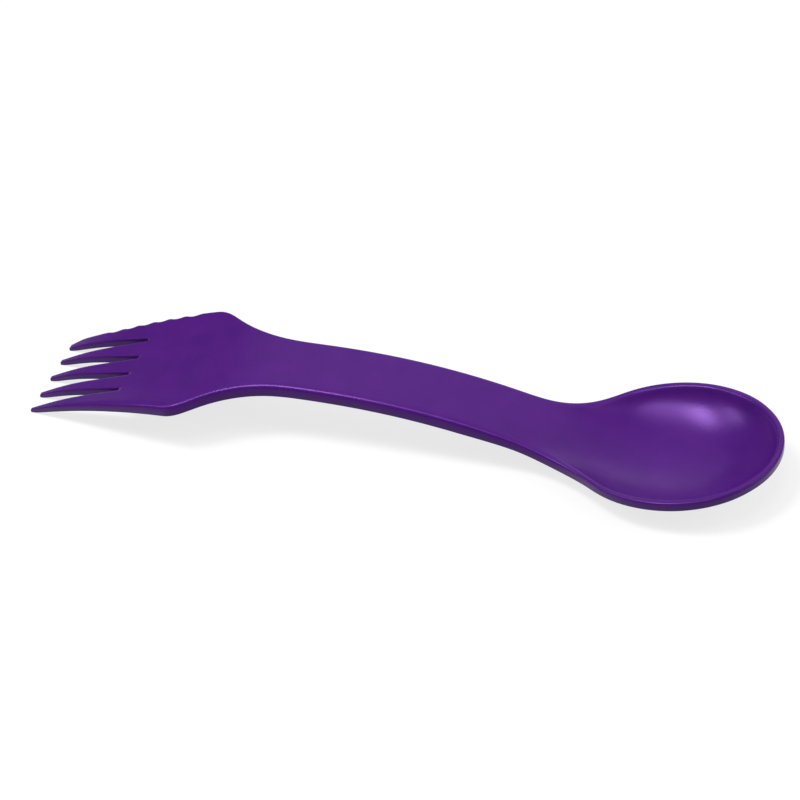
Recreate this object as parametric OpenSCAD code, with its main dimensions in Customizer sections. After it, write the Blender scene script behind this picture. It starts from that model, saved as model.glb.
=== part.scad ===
// Spork: a fork, a spoon and a serrated edge moulded as one piece of plastic.
// It lies face up, on the belly of its bowl and the tips of its tines.
// +X runs from the tine tips to the bowl, +Y to the serrated side, and +Z is up.
// The moulding is drawn as eight regions that meet on plane faces: five tines, palm, handle and bowl.
// Distances along it are measured from the tine tips, and heights from the table.

/* [Whole spork] */
// Length from the tine tips to the end of the bowl
overall_length = 170; // [155:1:185]
// Height of the top of the arched handle
arch_height = 15.6; // [13:0.2:18]
// Distance from the tine tips to the top of the arch
arch_distance = 66.4; // [60:0.2:74]
// Thickness of the handle and the palm
body_thickness = 3.1; // [2.6:0.1:3.8]
// Rounding of the long edges
edge_radius = 0.6; // [0.4:0.05:0.8]

/* [Fork] */
// Width across the shoulders
fork_width = 34.6; // [32:0.2:38]
// Distance from the tine tips to the shoulders
shoulder_distance = 39.4; // [36:0.2:44]
// Radius of the sweep from each shoulder into the handle
sweep_radius = 33; // [24:1:42]
// Softening of each shoulder's corner
shoulder_blend = 3.2; // [2:0.2:6]
// Spacing of the tines
tine_pitch = 5.85; // [5.6:0.05:6.1]
// Distance from the tine tips to the roots of the slots
slot_distance = 22.5; // [20:0.5:26]
// Width of a slot at its root
slot_width = 1.1; // [0.8:0.1:1.4]
// Width of a tine at its tip
tip_width = 1.1; // [0.7:0.05:1.3]
// How far the plain outer tine leans inwards at its tip
tip_lean = 0.4; // [0:0.1:0.8]
// Thickness of a tine at its tip
tip_thickness = 0.9; // [0.6:0.05:1.2]
// Depth of the shallow hollow in the palm
palm_hollow = 1.1; // [0.4:0.1:1.8]

/* [Serrated edge] */
// Distance from the tine tips to the first crest
first_crest = 9.9; // [8:0.1:12]
// Spacing of the crests
crest_pitch = 3.9; // [3.4:0.1:4.2]
// Depth of the scallops
scallop_depth = 0.5; // [0.3:0.05:0.8]
// Width of the cutting tine at its blunt tip
blade_tip_width = 1.7; // [1.2:0.1:2.2]
// How far the serrated side's shoulder lies behind the plain one
blade_shoulder = 0.7; // [0:0.1:1.5]
// How far the cutting tine swells out behind its tip
blade_swell = 1.3; // [0.5:0.1:1.5]

/* [Handle] */
// Width of the handle
handle_width = 16; // [13:0.5:19]
// Thickness of the handle's sides where they run into the bowl's rim
neck_thickness = 2.5; // [1.8:0.1:3]
// Distance from the top of the arch to where the sides start to thin
thinning_distance = 34; // [25:1:45]

/* [Spoon] */
// Width of the bowl
bowl_width = 39; // [36:0.5:43]
// Distance from the bowl's widest place to its front end
bowl_nose = 22.5; // [20:0.5:25]
// Length of the rear half of the bowl's oval
bowl_back = 23; // [21:0.2:26]
// Distance from the bowl's widest place back to where its hollow starts
hollow_reach = 31; // [29:0.5:33]
// Distance from the bowl's widest place back to the lowest place of the rim
neck_reach = 24.5; // [22:0.5:26]
// Height of the rim's line at the neck
neck_height = 6.2; // [5:0.1:7]
// Height of the rim at the front end
nose_height = 11.4; // [10:0.1:13]
// Softening of the dip between the handle and the rim
neck_blend = 3; // [1:0.1:4]
// Thickness of the bowl's floor
floor_thickness = 1.6; // [1.2:0.1:2.2]
// Softening where the handle's slope runs out on the floor
floor_blend = 3; // [2:0.1:4]
// Width of the rim's flat lip
rim_width = 1.5; // [1.2:0.1:2]
// Height of the rim's outer side
rim_thickness = 2.2; // [2:0.1:2.8]

/* [Hidden] */
plastic = "#5b2d85";

// Curves of the side view: powers of the distance from the top of the arch
fork_power = 2.18;
handle_power = 2.18;
// Powers of the bowl's inner and outer walls: a half would make them elliptical
inner_wall_power = 0.65;
outer_wall_power = 0.75;
// Power of the growth of the fork's thickness from the tips to the shoulders
taper_power = 0.55;

// Shares of the sizes that they follow
tip_height_share = 0.8;
tip_round_share = 0.4;
tip_crown_share = 0.62;
tip_edge_share = 0.42;
bowl_join_share = 0.67;
hollow_shares = [0.2, 1, 1.55, 2.2];
swell_rise_share = 0.32;
swell_fade_share = 1.9;

// Number of scallops and tines
scallop_count = 6;
tine_count = 5;

// Number of steps along each region, across its top, round its corners and along a scallop
scallop_steps = 6;
corner_steps = 2;
tine_steps = 9;
swell_steps = 7;
shoulder_steps = 16;
handle_steps = 22;
inner_tine_strips = 3;
outer_tine_strips = 4;
palm_strips = 10;
handle_strips = 6;

half_fork = fork_width / 2;
half_handle = handle_width / 2;
half_bowl = bowl_width / 2;
last_crest = first_crest + scallop_count * crest_pitch;
tip_height = tip_thickness * tip_height_share;
tip_edge = tine_pitch * (tine_count - 1) / 2 + tip_width * tip_round_share / 2;

// The sweep is an arc through the shoulder's corner, tangent to the handle
shoulder_rise = half_fork - half_handle;
sweep_run = sqrt(pow(sweep_radius, 2) - pow(sweep_radius - shoulder_rise, 2));
sweep_end = shoulder_distance + blade_shoulder + sweep_run;

// The neck is an arc tangent to the handle and to the rear of the bowl's oval
bowl_distance = overall_length - bowl_nose;
neck_distance = bowl_distance - neck_reach;
hollow_distance = bowl_distance - hollow_reach;
handle_run = neck_distance - arch_distance;
thinning_start = arch_distance + thinning_distance;
join_distance = bowl_distance - bowl_back * bowl_join_share;
join_half = half_bowl * sqrt(1 - pow(bowl_join_share, 2));
join_angle = atan2(half_bowl * bowl_join_share, bowl_back * sqrt(1 - pow(bowl_join_share, 2)));
neck_radius = (join_half - half_handle) / (1 - cos(join_angle));
neck_start = join_distance - neck_radius * sin(join_angle);

// General curves
function clamp(u) = max(0, min(1, u));
function ease(u) = pow(clamp(u), 2) * (3 - 2 * clamp(u));
function mix(a, b, u) = a + (b - a) * u;
function near_share(a, b, blend) = max(0, 1 - abs(a - b) / blend);
function soft_max(a, b, blend) = max(a, b) + blend * pow(near_share(a, b, blend), 2) / 4;
function soft_min(a, b, blend) = min(a, b) - blend * pow(near_share(a, b, blend), 2) / 4;
function steps(from, to, count) = [for (i = [0 : count]) mix(from, to, i / count)];

// Height of an arc of a given radius above its tangent, at a distance from the tangent point
function arc_rise(radius, run) = radius - sqrt(max(0, pow(radius, 2) - pow(run, 2)));

// Rise of a rounded wall at a share of the way out from its middle
function wall(share, power) = 1 - pow(max(0, 1 - pow(share, 2)), power);

// Side view: height of the upper edge
function fork_line(d) = mix(arch_height, tip_height, pow(1 - d / arch_distance, fork_power));
function handle_line(d) =
    mix(arch_height, neck_height, pow((d - arch_distance) / handle_run, handle_power));
function rim_line(d) = mix(neck_height, nose_height, (d - neck_distance) / (overall_length - neck_distance));
function edge_height(d) =
    d < arch_distance ? fork_line(d) : soft_max(handle_line(d), rim_line(d), neck_blend);

// Side view: thickness of the plate, which thins towards the tips
function plate(d) = mix(tip_thickness, body_thickness, pow(clamp(d / shoulder_distance), taper_power));

// Side view: thickness at the side edges, which thins towards the neck under a crowned underside
function side_plate(d) =
    plate(d) - (body_thickness - neck_thickness) * ease((d - thinning_start) / (hollow_distance - thinning_start));

// Plan: half-width of the fork, handle and neck, with a fork's shoulder at a given distance
function flare_half(d, shoulder) = mix(tip_edge, half_fork, d / shoulder);
function sweep_half(d, shoulder) = half_handle + arc_rise(sweep_radius, max(0, shoulder + sweep_run - d));
function fork_half(d, shoulder) = soft_min(flare_half(d, shoulder), sweep_half(d, shoulder), shoulder_blend);
function lean(d) = tip_lean * clamp(1 - d / slot_distance);
function neck_half(d) = half_handle + arc_rise(neck_radius, max(0, d - neck_start));
function oval_half(d) = half_bowl * sqrt(max(0, 1 - pow((bowl_distance - d) / bowl_back, 2)));
function half_width(d) =
    d < sweep_end ? fork_half(d, shoulder_distance) - lean(d)
    : d < join_distance ? neck_half(d)
    : oval_half(d);

// Plan: the serrated edge swells behind its tip and then runs in scallops
function swell(d) =
    blade_swell * ease(d / (first_crest * swell_rise_share))
    * pow(clamp(1 - d / (first_crest * swell_fade_share)), 2);
function scallop(d) =
    d < first_crest || d > last_crest ? 0
    : scallop_depth * abs(sin(180 * (d - first_crest) / crest_pitch));
function serrated_half(d) = fork_half(d, shoulder_distance + blade_shoulder) + swell(d) - scallop(d);

// Plan: half of a tine's own width, and the line of the outer tines' inner sides
function tine_half(d) = mix(tip_width, tine_pitch - slot_width, d / slot_distance) / 2;
function outer_side(d) = (tine_count - 1) * tine_pitch / 2 - tine_half(d);
function blade_side(d) = outer_side(d) - (blade_tip_width - tip_width) * clamp(1 - d / slot_distance);

// The palm's hollow, deepest on the centre line
function hollow_along(d) =
    ease((d / slot_distance - hollow_shares[0]) / (hollow_shares[1] - hollow_shares[0]))
    * (1 - ease((d / slot_distance - hollow_shares[2]) / (hollow_shares[3] - hollow_shares[2])));
function hollow(d, y) = palm_hollow * hollow_along(d) * (1 - pow(clamp(abs(y) / half_width(d)), 2));
function top_at(d, y) = edge_height(d) - hollow(d, y);
function crown(d, y) = wall(clamp(abs(y) / (half_width(d) - edge_radius)), outer_wall_power);
function under_at(d, y) =
    max(0, edge_height(d) - mix(plate(d), side_plate(d), crown(d, y)) - hollow(d, y));

// One cross-section of the plate between two side edges, as a closed ring of points.
// Its first half runs over the top and its second half back underneath, so that they pair up.
function ring(d, from, to, radius, count) =
    let (inner = steps(from + radius, to - radius, count), turns = [0 : corner_steps - 1])
    concat(
        [for (i = turns) let (a = 90 * i / corner_steps)
            [d, from + radius - radius * cos(a), top_at(d, from + radius) - radius + radius * sin(a)]],
        [for (y = inner) [d, y, top_at(d, y)]],
        [for (i = turns) let (a = 90 * (i + 1) / corner_steps)
            [d, to - radius + radius * sin(a), top_at(d, to - radius) - radius + radius * cos(a)]],
        [for (i = turns) let (a = 90 * i / corner_steps)
            [d, to - radius + radius * cos(a), under_at(d, to - radius) + radius - radius * sin(a)]],
        [for (i = [0 : count]) let (y = inner[count - i]) [d, y, under_at(d, y)]],
        [for (i = turns) let (a = 90 * (i + 1) / corner_steps)
            [d, from + radius - radius * sin(a), under_at(d, from + radius) + radius - radius * cos(a)]]
    );

// Triangles of a tube whose rings follow each other in one list of points
function tube_walls(ring_count, sides) = [
    for (k = [0 : ring_count - 2], i = [0 : sides - 1], half = [0, 1])
        let (a = k * sides + i, b = k * sides + (i + 1) % sides)
        half == 0 ? [a, b, b + sides] : [a, b + sides, a + sides]];

// Triangles of the flat face at the end of a ring, between its upper and its lower half
function end_face(first, sides) = [
    for (i = [0 : sides / 2 - 2], half = [0, 1])
        let (a = first + i, b = first + i + 1, c = first + sides - 2 - i, d = first + sides - 1 - i)
        half == 0 ? [a, b, c] : [a, c, d]];
function turned(faces) = [for (f = faces) [f[2], f[1], f[0]]];

// Solid through a row of rings, with a flat face at each end
module skin(rings) {
    sides = len(rings[0]);
    faces = concat(tube_walls(len(rings), sides), turned(end_face(0, sides)),
        end_face((len(rings) - 1) * sides, sides));
    translate([-overall_length / 2, 0, 0])
        polyhedron(points = [for (r = rings, p = r) p], faces = faces);
}

// Stations along a tine: close together at its tip and where its slot ends in a round root
tip_length = tip_width * tip_round_share;
root_radius = slot_width / 2;
function tine_edge(d) = min(edge_radius, tip_edge_share * plate(d), tip_edge_share * tine_half(d));
function root_growth(d) =
    root_radius - sqrt(max(0, pow(root_radius, 2) - pow(max(0, d - slot_distance + root_radius), 2)));
root_stations = [for (a = [30, 60, 90]) slot_distance - root_radius + root_radius * sin(a)];
plain_stations = concat([tip_length], steps(tip_length * 3, slot_distance - root_radius, tine_steps),
    root_stations);
crest_stations = [for (i = [0 : scallop_steps * scallop_count])
    first_crest + crest_pitch * i / scallop_steps];
swell_stations = steps(tip_length * 3, first_crest - crest_pitch / scallop_steps, swell_steps);
cut_stations = concat([tip_length], swell_stations,
    [for (d = crest_stations) if (d < slot_distance - root_radius - crest_pitch / scallop_steps / 2) d],
    [slot_distance - root_radius], root_stations);

// Ring that closes a tine at its very tip: the next ring, drawn in
function tip_ring(first, middle) =
    [for (p = first) [0, mix(middle, p[1], tip_crown_share), mix(tip_height / 2, p[2], tip_crown_share)]];

module inner_tine(index) {
    middle = (index - (tine_count - 1) / 2) * tine_pitch;
    rings = [for (d = plain_stations) let (half = tine_half(d) + root_growth(d))
        ring(d, middle - half, middle + half, tine_edge(d), inner_tine_strips)];
    color(plastic) skin(concat([tip_ring(rings[0], middle)], rings));
}

module plain_tine() {
    rings = [for (d = plain_stations)
        ring(d, -half_width(d), root_growth(d) + lean(d) - outer_side(d), tine_edge(d), outer_tine_strips)];
    color(plastic) skin(concat([tip_ring(rings[0], tip_lean - tip_edge)], rings));
}

module serrated_tine() {
    rings = [for (d = cut_stations)
        ring(d, blade_side(d) - root_growth(d), serrated_half(d), tine_edge(d), outer_tine_strips)];
    color(plastic) skin(concat([tip_ring(rings[0], tip_edge)], rings));
}

module palm() {
    serrated = [for (d = crest_stations) if (d > slot_distance + crest_pitch / scallop_steps / 2) d];
    shoulder = steps(last_crest + crest_pitch / scallop_steps, sweep_end, shoulder_steps);
    stations = concat([slot_distance], serrated, shoulder);
    color(plastic) skin([for (d = stations)
        ring(d, -half_width(d), serrated_half(d), edge_radius, palm_strips)]);
}

module handle() {
    color(plastic) skin([for (d = steps(sweep_end, hollow_distance, handle_steps))
        ring(d, -half_width(d), half_width(d), edge_radius, handle_strips)]);
}

// Bowl: the centre line of its floor and underside, carried on from the handle
function floor_line(d) = soft_max(handle_line(d), floor_thickness, floor_blend);
function keel_line(d) = soft_max(handle_line(d) - body_thickness, 0, floor_blend);
function rim_height(d) =
    mix(neck_thickness, rim_thickness, ease((d - hollow_distance) / (bowl_distance - hollow_distance)));

// Share of the way from the floor to the rim at a point, for an edge drawn in by a given inset
function out_share(d, y, inset) = clamp(
    d < bowl_distance ? abs(y) / (half_width(d) - inset)
    : norm([(d - bowl_distance) / (bowl_nose - inset), y / (half_bowl - inset)]));
function bowl_top(d, y) = let (base = d < bowl_distance ? floor_line(d) : floor_thickness)
    mix(base, edge_height(d), wall(out_share(d, y, rim_width), inner_wall_power));
function bowl_under(d, y) = let (base = d < bowl_distance ? keel_line(d) : 0)
    mix(base, edge_height(d) - rim_height(d), wall(out_share(d, y, edge_radius), outer_wall_power));

// Outline of the bowl, drawn in by an inset and walked anticlockwise from the near side of the neck
nose_steps = 28;
back_steps = 13;
neck_steps = 8;
back_stations = steps(hollow_distance, bowl_distance, back_steps);
function outline(inset, neck_inset) = concat(
    [for (s = back_stations) let (d = max(s, hollow_distance + neck_inset)) [d, inset - half_width(d)]],
    [for (i = [1 : nose_steps - 1]) let (a = 180 * i / nose_steps - 90)
        [bowl_distance + (bowl_nose - inset) * cos(a), (half_bowl - inset) * sin(a)]],
    [for (i = [0 : back_steps]) let (d = max(back_stations[back_steps - i], hollow_distance + neck_inset))
        [d, half_width(d) - inset]],
    [for (i = [1 : neck_steps - 1])
        [hollow_distance + neck_inset, (half_width(hollow_distance) - inset) * (1 - 2 * i / neck_steps)]]);
function toward_middle(points, share) =
    [for (p = points) [mix(bowl_distance, p[0], share), p[1] * share]];

// Rows of points from the middle of the floor, over the rim and back to the middle of the underside
floor_shares = [0.12, 0.26, 0.4, 0.54, 0.66, 0.76, 0.84, 0.9, 0.95, 0.98, 1];
function lip_row(angle) =
    [for (p = outline(edge_radius * (1 - sin(angle)), 0))
        [p[0], p[1], edge_height(p[0]) - edge_radius * (1 - cos(angle))]];
function foot_row(angle) =
    [for (p = outline(edge_radius * (1 - cos(angle)), 0))
        [p[0], p[1], bowl_under(p[0], p[1]) + edge_radius * (1 - sin(angle))]];
bowl_rows = concat(
    [for (s = floor_shares)
        [for (p = toward_middle(outline(rim_width, rim_width), s)) [p[0], p[1], bowl_top(p[0], p[1])]]],
    [for (i = [0 : corner_steps]) lip_row(90 * i / corner_steps)],
    [for (i = [0 : corner_steps]) foot_row(90 * i / corner_steps)],
    [for (i = [1 : len(floor_shares) - 1]) let (s = floor_shares[len(floor_shares) - 1 - i])
        [for (p = toward_middle(outline(edge_radius, 0), s)) [p[0], p[1], bowl_under(p[0], p[1])]]]);

module bowl() {
    sides = len(bowl_rows[0]);
    rows = len(bowl_rows);
    top_middle = rows * sides;
    under_middle = top_middle + 1;
    top = [for (i = [0 : sides - 1]) [top_middle, (i + 1) % sides, i]];
    under = [for (i = [0 : sides - 1])
        [under_middle, (rows - 1) * sides + i, (rows - 1) * sides + (i + 1) % sides]];
    points = concat([for (r = bowl_rows, p = r) p],
        [[bowl_distance, 0, floor_thickness], [bowl_distance, 0, 0]]);
    color(plastic) translate([-overall_length / 2, 0, 0])
        polyhedron(points = points, faces = concat(tube_walls(rows, sides), top, under));
}

plain_tine();
inner_tine(1);  // inner_tine_1
inner_tine(2);  // inner_tine_2
inner_tine(3);  // inner_tine_3
serrated_tine();
palm();
handle();
bowl();
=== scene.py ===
# Spork moulded in one piece of purple polypropylene: bowl, arched handle and five tines.
import math
import bmesh
import bpy
from mathutils import Euler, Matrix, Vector


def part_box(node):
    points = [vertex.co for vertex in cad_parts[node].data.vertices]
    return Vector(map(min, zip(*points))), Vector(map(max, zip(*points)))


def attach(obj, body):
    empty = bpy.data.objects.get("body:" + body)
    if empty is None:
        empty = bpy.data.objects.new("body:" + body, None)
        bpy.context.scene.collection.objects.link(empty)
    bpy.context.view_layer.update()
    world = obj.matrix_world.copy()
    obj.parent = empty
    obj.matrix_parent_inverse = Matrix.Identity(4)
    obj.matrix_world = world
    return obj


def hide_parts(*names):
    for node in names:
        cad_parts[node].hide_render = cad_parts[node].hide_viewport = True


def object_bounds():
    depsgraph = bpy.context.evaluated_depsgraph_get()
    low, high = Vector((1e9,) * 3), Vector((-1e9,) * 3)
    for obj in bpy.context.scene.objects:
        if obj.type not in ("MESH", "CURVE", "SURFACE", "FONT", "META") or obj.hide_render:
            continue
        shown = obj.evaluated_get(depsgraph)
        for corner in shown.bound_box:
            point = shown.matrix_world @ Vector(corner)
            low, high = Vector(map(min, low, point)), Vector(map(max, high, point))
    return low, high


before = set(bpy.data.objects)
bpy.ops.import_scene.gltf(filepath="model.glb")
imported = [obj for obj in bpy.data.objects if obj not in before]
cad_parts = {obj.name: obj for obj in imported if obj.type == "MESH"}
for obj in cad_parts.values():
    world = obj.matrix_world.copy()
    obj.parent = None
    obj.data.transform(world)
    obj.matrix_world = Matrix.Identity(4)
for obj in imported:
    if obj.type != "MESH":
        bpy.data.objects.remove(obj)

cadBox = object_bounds()
mm = 0.001


# What can be changed: sizes in millimetres, distances from the tine tips

def nodeBox(node):
    low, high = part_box(node)
    return low / mm, high / mm


cadLow = Vector(cadBox[0]) / mm
cadHigh = Vector(cadBox[1]) / mm
tipPlace = cadLow.x

whole = {
    "length": cadHigh.x - cadLow.x,
    "archHeight": cadHigh.z,
    "archDistance": 66.4,
    "thickness": 3.1,
    "underInset": 1.0,            # the underside reaches the sides' height this far inside the outline
    "nearEdge": 2.2,              # loop below the upper edge on the plain side, from palm to handle:
                                  # about 0.6 of it is the radius that the smoothing leaves
    "farEdge": 1.0,               # the same on the serrated side
    "lipEdge": 1.1,               # the same on the outer edge of the bowl's lip
    "lowerEdge": 0.5,             # loop above the lower edge, all round
    "lowerEdgeShare": 0.2,        # and the most of the wall's height that it takes
    "forkPower": 2.18,
    "handlePower": 2.18,
    "surfaceLevels": 2,
    "creaseAngle": 45,
}

fork = {
    "tines": 5,
    "width": 34.6,
    "shoulder": 39.4,
    "bladeShoulder": 0.7,
    "sweepRadius": 33.0,
    "shoulderBlend": 3.2,
    "pitch": 5.85,
    "slotEnd": nodeBox("palm")[0].x - tipPlace,
    "slotWidth": 0.85,
    "innerEdge": 0.65,            # nearest loop to an edge beside a slot
    "innerEdgeShare": 0.28,       # the most of a tine's width or of the wall's height that it takes
    "outerEdgeShare": 0.4,        # the same beside an outer edge
    "wallEdgeShare": 0.7,         # the most of the wall's height at an outer edge, away from the tips
    "slotReach": 1.0,             # up to here past the slots and inside the outline, an edge is a slot's
    "edgeStart": 4.0,             # the outer edges get broader from here
    "edgeRun": 14.0,              # over this run
    "handleRun": 20.0,            # run over which the tines' columns turn into the handle's
    "tipWidth": 1.05,
    "tipOverhang": 0.21,          # from the outer tines' middle line to the fork's edge, at the tips
    "tipLean": 0.4,
    "tipThickness": 0.9,
    "tipHeight": 0.72,
    "bladeTipWidth": 1.7,
    "taperPower": 0.55,
    "dish": 1.1,
    "dishShares": {"start": 0.2, "full": 1.0, "fade": 1.55, "end": 2.2},  # of the slots' length
    "cutFromPalm": 0.9,           # how far before the slots' ends the tines are parted from the palm
}

blade = {
    "firstCrest": 9.9,
    "crestPitch": 3.9,
    "scallops": 6,
    "depth": 0.58,                # the smoothing takes about a third of it away again
    "swell": 1.3,
    "swellFullShare": 0.32,       # of the first crest's distance
    "swellEndShare": 1.9,
    "stepsPerScallop": 4,
    "columnShares": [0.1, 0.6, 1.0],  # how far the last three columns follow the scallops
    "rowClearance": 0.3,
}

handle = {
    "width": 16.0,
    "start": nodeBox("handle")[0].x - tipPlace,
    "neckThickness": 2.5,
    "thinningStart": 100.4,
    "rowPitch": 3.0,
    "ringStart": 100.0,           # the outer columns turn into the bowl's rings from here
    "ringRun": 24.0,              # over this run
}

bowl = {
    "start": nodeBox("bowl")[0].x - tipPlace,
    "width": cadHigh.y - cadLow.y,
    "nose": 22.5,
    "back": 23.0,
    "neckBack": 24.5,
    "neckHeight": 6.2,
    "noseHeight": 11.4,
    "neckBlend": 3.0,
    "floor": 1.6,
    "floorBlend": 3.0,
    "lip": 1.5,
    "rimThickness": 2.2,
    "innerPower": 0.65,
    "outerPower": 0.75,
    "joinShare": 0.67,            # where the neck's arc meets the oval, as a share of its back
    "lipRun": 12.0,               # run over which the handle's edge turns into the lip's
    "rowPitch": 2.4,
    "frontRows": 7,
}


# Curves of the moulding

def clamp(u):
    return max(0.0, min(1.0, u))


def ease(u):
    u = clamp(u)
    return u * u * (3 - 2 * u)


def mix(a, b, u):
    return a + (b - a) * u


def softMax(a, b, blend):
    return max(a, b) + blend * max(0.0, 1 - abs(a - b) / blend) ** 2 / 4


def softMin(a, b, blend):
    return min(a, b) - blend * max(0.0, 1 - abs(a - b) / blend) ** 2 / 4


def arcRise(radius, run):
    return radius - math.sqrt(max(0.0, radius ** 2 - run ** 2))


def wallRise(share, power):
    return 1 - max(0.0, 1 - share ** 2) ** power


halfHandle = handle["width"] / 2
halfBowl = bowl["width"] / 2
halfFork = fork["width"] / 2
sweepRun = math.sqrt(fork["sweepRadius"] ** 2 - (fork["sweepRadius"] - halfFork + halfHandle) ** 2)
tipEdge = fork["pitch"] * (fork["tines"] - 1) / 2 + fork["tipOverhang"]
lastCrest = blade["firstCrest"] + blade["scallops"] * blade["crestPitch"]

# The neck is an arc that touches the handle and the bowl's oval
widest = whole["length"] - bowl["nose"]
neck = widest - bowl["neckBack"]
joinPlace = widest - bowl["back"] * bowl["joinShare"]
joinDrop = math.sqrt(1 - bowl["joinShare"] ** 2)
joinHalf = halfBowl * joinDrop
joinAngle = math.atan2(halfBowl * bowl["joinShare"], bowl["back"] * joinDrop)
neckRadius = (joinHalf - halfHandle) / (1 - math.cos(joinAngle))
neckStart = joinPlace - neckRadius * math.sin(joinAngle)


def handleLine(d):
    fall = max(0.0, d - whole["archDistance"]) / (neck - whole["archDistance"])
    return mix(whole["archHeight"], bowl["neckHeight"], fall ** whole["handlePower"])


def edgeHeight(d):
    if d < whole["archDistance"]:
        rise = (1 - d / whole["archDistance"]) ** whole["forkPower"]
        return mix(whole["archHeight"], fork["tipHeight"], rise)
    rimLine = mix(bowl["neckHeight"], bowl["noseHeight"], (d - neck) / (whole["length"] - neck))
    return softMax(handleLine(d), rimLine, bowl["neckBlend"])


def plate(d):
    growth = clamp(d / fork["shoulder"]) ** fork["taperPower"]
    return mix(fork["tipThickness"], whole["thickness"], growth)


def sidePlate(d):
    thinning = ease((d - handle["thinningStart"]) / (bowl["start"] - handle["thinningStart"]))
    return plate(d) - (whole["thickness"] - handle["neckThickness"]) * thinning


def forkHalf(d, shoulder):
    flare = mix(tipEdge, halfFork, d / shoulder)
    sweep = halfHandle + arcRise(fork["sweepRadius"], max(0.0, shoulder + sweepRun - d))
    return softMin(flare, sweep, fork["shoulderBlend"])


def lean(d):
    return fork["tipLean"] * clamp(1 - d / fork["slotEnd"])


def plainHalf(d):
    if d < handle["start"]:
        return forkHalf(d, fork["shoulder"]) - lean(d)
    if d < joinPlace:
        return halfHandle + arcRise(neckRadius, max(0.0, d - neckStart))
    return halfBowl * math.sqrt(max(0.0, 1 - ((widest - d) / bowl["back"]) ** 2))


def bladeHalf(d):
    if d >= handle["start"]:
        return plainHalf(d)
    swell = blade["swell"] * ease(d / (blade["firstCrest"] * blade["swellFullShare"]))
    swell *= clamp(1 - d / (blade["firstCrest"] * blade["swellEndShare"])) ** 2
    return forkHalf(d, fork["shoulder"] + fork["bladeShoulder"]) + swell


def scallop(d):
    if d < blade["firstCrest"] or d > lastCrest:
        return 0.0
    return blade["depth"] * abs(math.sin(math.pi * (d - blade["firstCrest"]) / blade["crestPitch"]))


def tineHalf(d):
    return mix(fork["tipWidth"], fork["pitch"] - fork["slotWidth"], clamp(d / fork["slotEnd"])) / 2


def dish(d, y):
    reach = d / fork["slotEnd"]
    shares = fork["dishShares"]
    along = ease((reach - shares["start"]) / (shares["full"] - shares["start"]))
    along *= 1 - ease((reach - shares["fade"]) / (shares["end"] - shares["fade"]))
    return fork["dish"] * along * (1 - clamp(abs(y) / plainHalf(d)) ** 2)


def outShare(d, y, inset):
    if d < widest:
        return clamp(abs(y) / (plainHalf(d) - inset))
    return clamp(math.hypot((d - widest) / (bowl["nose"] - inset), y / (halfBowl - inset)))


def topHeight(d, y):
    if d < bowl["start"]:
        return edgeHeight(d) - dish(d, y)
    base = bowl["floor"]
    if d < widest:
        base = softMax(handleLine(d), bowl["floor"], bowl["floorBlend"])
    return mix(base, edgeHeight(d), wallRise(outShare(d, y, bowl["lip"]), bowl["innerPower"]))


def underHeight(d, y):
    inset = whole["underInset"]
    if d < bowl["start"]:
        crown = wallRise(clamp(abs(y) / (plainHalf(d) - inset)), bowl["outerPower"])
        return max(0.0, edgeHeight(d) - mix(plate(d), sidePlate(d), crown) - dish(d, y))
    keel = 0.0
    if d < widest:
        keel = softMax(handleLine(d) - whole["thickness"], 0.0, bowl["floorBlend"])
    toRim = ease((d - bowl["start"]) / (widest - bowl["start"]))
    rim = mix(handle["neckThickness"], bowl["rimThickness"], toRim)
    return mix(keel, edgeHeight(d) - rim, wallRise(outShare(d, y, inset), bowl["outerPower"]))


# Loops of the mesh: rows across the spork, and columns along it that turn round the bowl's front end
# A tine has three strips and a slot one, so the five tines and four slots take nineteen strips
# The five outer strips on each side are the ones that run round the front as rings

ringCount = 5
stripsPerTine = 4
stripCount = fork["tines"] * stripsPerTine - 1

# How far inside the outline the rings run: near is the plain side and far the serrated one
ringOffsets = {
    "near": [0, 2.1, 2.9, 3.6, 4.2, 4.8],
    "far": [0, 1.0, 2.0, 3.0, 3.9, 4.8],
    "bowl": [0, 0.8, 1.5, 2.1, 2.9, 4.4],
}

# The first row is a hair inside the CAD model's box
tipRows = [0.01, 0.35, 1.5, 3.1, 4.8, 6.5, 8.0]
scallopRows = [blade["firstCrest"] + blade["crestPitch"] * step / blade["stepsPerScallop"]
               for step in range(-1, blade["scallops"] * blade["stepsPerScallop"] + 2)]
shoulderRows = [35.6, 37.0, 38.3, 39.6, 41.0, 42.6, 44.5, 46.8, 49.4, 52.4, 55.6, 59.0]


def evenRows(start, end, pitch):
    count = max(1, round((end - start) / pitch))
    return [mix(start, end, i / count) for i in range(count + 1)]


rows = tipRows + [d for d in scallopRows if abs(d - fork["slotEnd"]) > blade["rowClearance"]]
rows += [fork["slotEnd"]] + shoulderRows
rows += evenRows(handle["start"], bowl["start"], handle["rowPitch"])
rows += evenRows(bowl["start"], widest, bowl["rowPitch"])[1:]
rows = sorted(rows)
slotRow = rows.index(fork["slotEnd"])
wideRow = len(rows) - 1
frontRow = wideRow + bowl["frontRows"]


def toOuterEdge(d):
    return ease((d - fork["edgeStart"]) / fork["edgeRun"])


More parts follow.
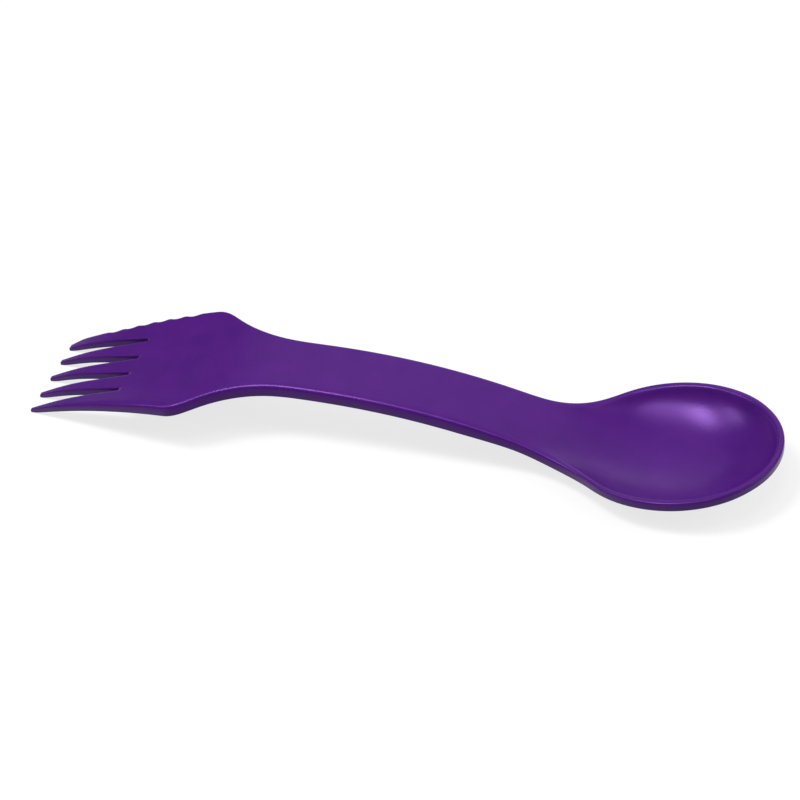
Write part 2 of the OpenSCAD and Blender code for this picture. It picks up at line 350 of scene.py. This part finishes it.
def forkColumn(d, column):
    tine, line = divmod(column, stripsPerTine)
    centre = (tine - (fork["tines"] - 1) / 2) * fork["pitch"]
    low, high = centre - tineHalf(d), centre + tineHalf(d)
    if tine == 0:
        low = -plainHalf(d)
        high += lean(d)
    if tine == fork["tines"] - 1:
        low -= (fork["bladeTipWidth"] - fork["tipWidth"]) * clamp(1 - d / fork["slotEnd"])
        high = bladeHalf(d)
    support = min(fork["innerEdge"], (high - low) * fork["innerEdgeShare"])
    broadest = (high - low) * fork["outerEdgeShare"]
    lowSupport = highSupport = support
    if tine == 0:
        lowSupport = min(mix(support, ringOffsets["near"][1], toOuterEdge(d)), broadest)
    if tine == fork["tines"] - 1:
        highSupport = min(mix(support, ringOffsets["far"][1], toOuterEdge(d)), broadest)
    return [low, low + lowSupport, high - highSupport, high][line]


def ringOffset(ring, d, side):
    toBowl = ease((d - handle["ringStart"]) / handle["ringRun"])
    return mix(ringOffsets["near" if side < 0 else "far"][ring], ringOffsets["bowl"][ring], toBowl)


def slopeAt(half, d):
    step = 0.05
    return (half(d + step) - half(d - step)) / (2 * step)


def handlePoint(d, column):
    share = clamp((column - ringCount) / (stripCount - 2 * ringCount))
    ring = min(column, stripCount - column, ringCount)
    ends = []
    for half, side in ((plainHalf, -1), (bladeHalf, 1)):
        offset = ringOffset(ring, d, side)
        slope = slopeAt(half, d)
        length = math.hypot(1, slope)
        ends.append((d + slope * offset / length, side * (half(d) - offset / length)))
    shift = mix(ends[0][0] - d, ends[1][0] - d, share) * (2 * share - 1) ** 2
    return d + shift, mix(ends[0][1], ends[1][1], share)


def planPoint(row, column):
    # Ahead of the widest place a square of strips is rounded into the oval
    if row > wideRow:
        ring = min(column, stripCount - column, ringCount + frontRow - row, ringCount)
        u = clamp((row - wideRow) / bowl["frontRows"])
        v = 2 * clamp((column - ringCount) / (stripCount - 2 * ringCount)) - 1
        offset = ringOffsets["bowl"][ring]
        x = u * math.sqrt(1 - v * v / 2)
        y = v * math.sqrt(1 - u * u / 2)
        return widest + (bowl["nose"] - offset) * x, (halfBowl - offset) * y
    d = rows[row]
    toHandle = ease((d - fork["slotEnd"]) / fork["handleRun"])
    forkY = forkColumn(d, column)
    if toHandle == 0:
        x, y = d, forkY
    else:
        x, y = handlePoint(d, column)
        x, y = mix(d, x, toHandle), mix(forkY, y, toHandle)
    fromEdge = stripCount - column
    if fromEdge < len(blade["columnShares"]):
        y -= scallop(d) * blade["columnShares"][-1 - fromEdge]
    return x, y


def upperSupport(d, y, thickness):
    reach = fork["slotReach"]
    if d < fork["slotEnd"] + reach and abs(y) < plainHalf(d) - reach:
        return thickness * fork["innerEdgeShare"]
    plateEdge = whole["nearEdge"] if y < 0 else whole["farEdge"]
    plateSupport = mix(plateEdge, whole["lipEdge"], ease((d - bowl["start"]) / bowl["lipRun"]))
    share = mix(fork["innerEdgeShare"], fork["wallEdgeShare"], toOuterEdge(d))
    return min(plateSupport, thickness * share)


def modelMoulding():
    bpy.ops.object.select_all(action="DESELECT")
    coreStrips = stripCount - 2 * ringCount
    bpy.ops.mesh.primitive_grid_add(x_subdivisions=frontRow, y_subdivisions=coreStrips, size=2)
    moulding = bpy.context.object
    moulding.name = "sporkMoulding"
    bpy.ops.object.mode_set(mode="EDIT")
    mesh = bmesh.from_edit_mesh(moulding.data)
    # Count in strips first: x is the row and y the column
    for vert in mesh.verts:
        vert.co.x = round((vert.co.x + 1) / 2 * frontRow)
        vert.co.y = ringCount + round((vert.co.y + 1) / 2 * coreStrips)
    bpy.ops.mesh.select_mode(type="EDGE")
    for ring in range(ringCount):
        last = frontRow + ring
        low = ringCount - ring
        high = stripCount - ringCount + ring
        for edge in mesh.edges:
            a, b = (vert.co for vert in edge.verts)
            side = a.y == b.y and a.y in (low, high)
            front = a.x == b.x == last
            edge.select_set(edge.is_boundary and (side or front))
        bmesh.update_edit_mesh(moulding.data)
        bpy.ops.mesh.extrude_edges_move()
        mesh = bmesh.from_edit_mesh(moulding.data)
        for vert in mesh.verts:
            if vert.select:
                vert.co.x += vert.co.x == last
                vert.co.y += (vert.co.y == high) - (vert.co.y == low)
    # The slots between the tines
    bpy.ops.mesh.select_mode(type="FACE")
    for face in mesh.faces:
        middle = face.calc_center_median()
        slotStrip = int(middle.y) % stripsPerTine == stripsPerTine - 1
        face.select_set(middle.x < slotRow and slotStrip)
    bmesh.update_edit_mesh(moulding.data)
    bpy.ops.mesh.delete(type="FACE")
    mesh = bmesh.from_edit_mesh(moulding.data)
    for vert in mesh.verts:
        d, y = planPoint(round(vert.co.x), round(vert.co.y))
        vert.co = Vector((d, y, topHeight(d, y)))
    bpy.ops.mesh.select_all(action="SELECT")
    # Down the sides in three strips, so that both edges come out rounded
    for level in (1, 2, 3):
        bmesh.update_edit_mesh(moulding.data)
        bpy.ops.mesh.extrude_region_move()
        mesh = bmesh.from_edit_mesh(moulding.data)
        for vert in mesh.verts:
            if vert.select:
                top = topHeight(vert.co.x, vert.co.y)
                under = underHeight(vert.co.x, vert.co.y)
                upper = upperSupport(vert.co.x, vert.co.y, top - under)
                lower = min(whole["lowerEdge"], (top - under) * whole["lowerEdgeShare"])
                vert.co.z = [top - upper, under + lower, under][level - 1]
    for vert in mesh.verts:
        vert.co = Vector((vert.co.x + tipPlace, vert.co.y, vert.co.z)) * mm
    bmesh.update_edit_mesh(moulding.data)
    bpy.ops.mesh.select_all(action="SELECT")
    bpy.ops.mesh.normals_make_consistent(inside=False)
    bpy.ops.object.mode_set(mode="OBJECT")
    smoothing = moulding.modifiers.new("Subdivision", "SUBSURF")
    smoothing.levels = smoothing.render_levels = whole["surfaceLevels"]
    bpy.ops.object.modifier_apply(modifier=smoothing.name)
    return moulding


cutTolerance = 1e-7


def keepBetween(piece, low, high):
    # Cuts the piece off square at two distances and closes the cuts
    bpy.ops.object.select_all(action="DESELECT")
    piece.select_set(True)
    bpy.context.view_layer.objects.active = piece
    bpy.ops.object.mode_set(mode="EDIT")
    for place, direction in ((low, -1), (high, 1)):
        if place is not None:
            bpy.ops.mesh.select_all(action="SELECT")
            bpy.ops.mesh.bisect(plane_co=((place + tipPlace) * mm, 0, 0), plane_no=(direction, 0, 0),
                                use_fill=True, clear_outer=True, threshold=cutTolerance)
    bpy.ops.object.mode_set(mode="OBJECT")


def copyPiece(source, name):
    piece = source.copy()
    piece.data = source.data.copy()
    piece.name = name
    bpy.context.scene.collection.objects.link(piece)
    return piece


def finishPiece(piece, node):
    bpy.ops.object.select_all(action="DESELECT")
    piece.select_set(True)
    bpy.context.view_layer.objects.active = piece
    bpy.ops.object.shade_smooth_by_angle(angle=math.radians(whole["creaseAngle"]))
    piece.data.materials.clear()
    piece.data.materials.append(plastic)
    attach(piece, "root")
    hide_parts(node)


# Materials

def toLinear(hexColour):
    values = [int(hexColour[i:i + 2], 16) / 255 for i in (1, 3, 5)]
    return [c / 12.92 if c <= 0.04045 else ((c + 0.055) / 1.055) ** 2.4 for c in values] + [1]


def addNode(tree, kind, settings=None, links=None):
    node = tree.nodes.new(kind)
    for key, value in (settings or {}).items():
        if isinstance(key, str) and hasattr(node, key):
            setattr(node, key, value)
        else:
            node.inputs[key].default_value = value
    for key, source in (links or {}).items():
        tree.links.new(source, node.inputs[key])
    return node


def newMaterial(name):
    material = bpy.data.materials.new(name)
    material.use_nodes = True
    material.node_tree.nodes.clear()
    return material, material.node_tree


skin = {
    "palePigment": "#531C7C", "deepPigment": "#41166C",
    "cloudSize": 7.0,             # millimetres, as all sizes here
    "streakLength": 25.0, "streakWidth": 3.5,
    "grainSize": 0.6, "grainDepth": 0.014,
    "waveSize": 9.0, "waveDepth": 0.08,
    "sheen": 0.29, "sheenRange": 0.015,
    "noiseLow": 0.3, "noiseHigh": 0.7,  # where most of a noise's values lie
    "glossTint": "#C891FF",
}


def noiseAt(tree, place, size, detail=2):
    settings = {"Scale": 1 / (size * mm), "Detail": detail}
    return addNode(tree, "ShaderNodeTexNoise", settings, {"Vector": place}).outputs["Fac"]


def mouldedPolypropylene():
    # Pigment all through, and a satin skin from a polished mould: a soft highlight that follows the
    # hollow and the rounded edges, a little uneven where the plastic flowed and shrank
    material, tree = newMaterial("moulded polypropylene")
    place = addNode(tree, "ShaderNodeTexCoord").outputs["Object"]
    pigment = addNode(tree, "ShaderNodeMix", {
        "data_type": "RGBA", 6: toLinear(skin["deepPigment"]), 7: toLinear(skin["palePigment"])},
        {0: noiseAt(tree, place, skin["cloudSize"])})
    # Flow streaks run along the spork from end to end
    stretch = (skin["streakWidth"] / skin["streakLength"], 1, 1)
    along = addNode(tree, "ShaderNodeVectorMath", {"operation": "MULTIPLY", 1: stretch}, {0: place})
    sheen = addNode(tree, "ShaderNodeMapRange", {
        "From Min": skin["noiseLow"], "From Max": skin["noiseHigh"],
        "To Min": skin["sheen"] - skin["sheenRange"], "To Max": skin["sheen"] + skin["sheenRange"]},
        {"Value": noiseAt(tree, along.outputs[0], skin["streakWidth"], 0)})
    # Slow waves from shrinking, and the grain of the mould, drawn coarser than real so that it shows
    waves = addNode(tree, "ShaderNodeBump", {"Strength": 1.0, "Distance": skin["waveDepth"] * mm},
                    {"Height": noiseAt(tree, place, skin["waveSize"], 0)})
    fineNoise = noiseAt(tree, place, skin["grainSize"])
    grain = addNode(tree, "ShaderNodeBump", {"Strength": 1.0, "Distance": skin["grainDepth"] * mm},
                    {"Height": fineNoise, "Normal": waves.outputs["Normal"]})
    shader = addNode(tree, "ShaderNodeBsdfPrincipled", {
        "IOR": 1.49, "Specular IOR Level": 0.5, "Specular Tint": toLinear(skin["glossTint"])}, {
        "Base Color": pigment.outputs[2], "Roughness": sheen.outputs[0],
        "Normal": grain.outputs["Normal"]})
    addNode(tree, "ShaderNodeOutputMaterial", links={"Surface": shader.outputs["BSDF"]})
    return material


paper = {
    "reach": 6.0,                 # metres
    "shade": "#848484",
    "glow": 0.77,
}


def whiteFloor():
    # Matt paper that the camera sees as white and that keeps only a light shadow
    material, tree = newMaterial("white paper sweep")
    shader = addNode(tree, "ShaderNodeBsdfDiffuse", {"Color": toLinear(paper["shade"])})
    rays = addNode(tree, "ShaderNodeLightPath")
    seen = addNode(tree, "ShaderNodeMath", {"operation": "ADD"},
                   {0: rays.outputs["Is Camera Ray"], 1: rays.outputs["Is Glossy Ray"]})
    seen = addNode(tree, "ShaderNodeMath", {"operation": "ADD", "use_clamp": True},
                   {0: seen.outputs[0], 1: rays.outputs["Is Transmission Ray"]})
    glow = addNode(tree, "ShaderNodeEmission", {"Color": (1, 1, 1, 1)})
    level = addNode(tree, "ShaderNodeMath", {"operation": "MULTIPLY", 1: paper["glow"]},
                    {0: seen.outputs[0]})
    tree.links.new(level.outputs[0], glow.inputs["Strength"])
    both = addNode(tree, "ShaderNodeAddShader", links={0: shader.outputs[0], 1: glow.outputs[0]})
    addNode(tree, "ShaderNodeOutputMaterial", links={"Surface": both.outputs[0]})
    return material


plastic = mouldedPolypropylene()

moulding = modelMoulding()
print("moulding:", len(moulding.data.polygons), "faces")

tinesEnd = fork["slotEnd"] - fork["cutFromPalm"]
tines = copyPiece(moulding, "tines")
keepBetween(tines, None, tinesEnd)
palmPiece = copyPiece(moulding, "palmPlate")
keepBetween(palmPiece, tinesEnd, handle["start"])
handlePiece = copyPiece(moulding, "archedHandle")
keepBetween(handlePiece, handle["start"], bowl["start"])
bowlPiece = moulding
keepBetween(bowlPiece, bowl["start"], None)
bowlPiece.name = "spoonBowl"

bpy.ops.object.select_all(action="DESELECT")
tines.select_set(True)
bpy.context.view_layer.objects.active = tines
bpy.ops.mesh.separate(type="LOOSE")


def sidePlace(piece):
    return sum(vert.co.y for vert in piece.data.vertices) / len(piece.data.vertices)


tinePieces = sorted(bpy.context.selected_objects, key=sidePlace)
tineNames = {
    "plain_tine": "plainTine",
    "inner_tine_1": "innerTine1",
    "inner_tine_2": "innerTine2",
    "inner_tine_3": "innerTine3",
    "serrated_tine": "serratedTine",
}
for piece, (node, name) in zip(tinePieces, tineNames.items()):
    piece.name = name
    finishPiece(piece, node)
largePieces = {"palm": palmPiece, "handle": handlePiece, "bowl": bowlPiece}
for node, piece in largePieces.items():
    finishPiece(piece, node)
print("pieces:", len(tinePieces) + len(largePieces))


# Camera, floor and light

camera = {
    "azimuth": 21.47, "elevation": 41.24, "roll": -6.41,
    "focalPixels": 2200, "framePixels": 800, "sensor": 36,
    "aimPixel": (396.31, 403.83),  # where the point aimed at lands in the frame
    "aimHeight": 8.0, "distance": 482.6,  # millimetres
    "clipStart": 0.01,
}


def addCamera():
    turn = (Euler((0, 0, math.radians(camera["azimuth"]))).to_matrix()
            @ Euler((math.radians(90 - camera["elevation"]), 0, 0)).to_matrix()
            @ Euler((0, 0, math.radians(camera["roll"]))).to_matrix())
    right, up, back = turn.col
    perPixel = camera["distance"] / camera["focalPixels"]
    middle = camera["framePixels"] / 2
    place = Vector((0, 0, camera["aimHeight"])) + back * camera["distance"]
    place -= right * (camera["aimPixel"][0] - middle) * perPixel
    place += up * (camera["aimPixel"][1] - middle) * perPixel
    data = bpy.data.cameras.new("camera")
    data.sensor_width = camera["sensor"]
    data.lens = data.sensor_width * camera["focalPixels"] / camera["framePixels"]
    data.clip_start = camera["clipStart"]
    view = bpy.data.objects.new("camera", data)
    view.matrix_world = turn.to_4x4()
    view.location = place * mm
    bpy.context.scene.collection.objects.link(view)
    bpy.context.scene.camera = view


def addLamp(name, direction, distance, size, power):
    data = bpy.data.lights.new(name, "AREA")
    data.shape = "DISK"
    data.size = size
    data.energy = power
    lamp = bpy.data.objects.new(name, data)
    way = Vector(direction).normalized()
    lamp.location = way * distance
    lamp.rotation_euler = way.to_track_quat("Z", "Y").to_euler()
    bpy.context.scene.collection.objects.link(lamp)
    return lamp


addCamera()
bpy.ops.mesh.primitive_plane_add(size=paper["reach"])
floor = bpy.context.object
floor.name = "floor"
floor.data.materials.append(whiteFloor())

# Direction from the spork's middle, distance and size in metres, watts
lamps = {
    "keyLamp": ((-0.296, -0.149, 0.944), 1.18, 0.31, 7.6),
    "leftWing": ((-0.66, -0.20, 0.72), 0.9, 0.3, 1.75),
    "rightWing": ((0.08, -0.22, 0.96), 0.9, 0.32, 1.55),
    "rearPanel": ((0.0, 0.67, 0.74), 0.9, 1.0, 1.35),
    "horizonPanel": ((0.05, 0.96, 0.25), 0.9, 0.6, 0.4),
    "sideLamp": ((0.766, 0, 0.643), 0.9, 0.6, 2.4),
}
worldLevel = 0.07
for name, (direction, distance, size, power) in lamps.items():
    addLamp(name, direction, distance, size, power)
world = bpy.data.worlds.new("studio")
bpy.context.scene.world = world
world.use_nodes = True
background = world.node_tree.nodes["Background"]
background.inputs["Color"].default_value = (1, 1, 1, 1)
background.inputs["Strength"].default_value = worldLevel
bpy.context.scene.view_settings.view_transform = "Standard"
print("camera and light are set")
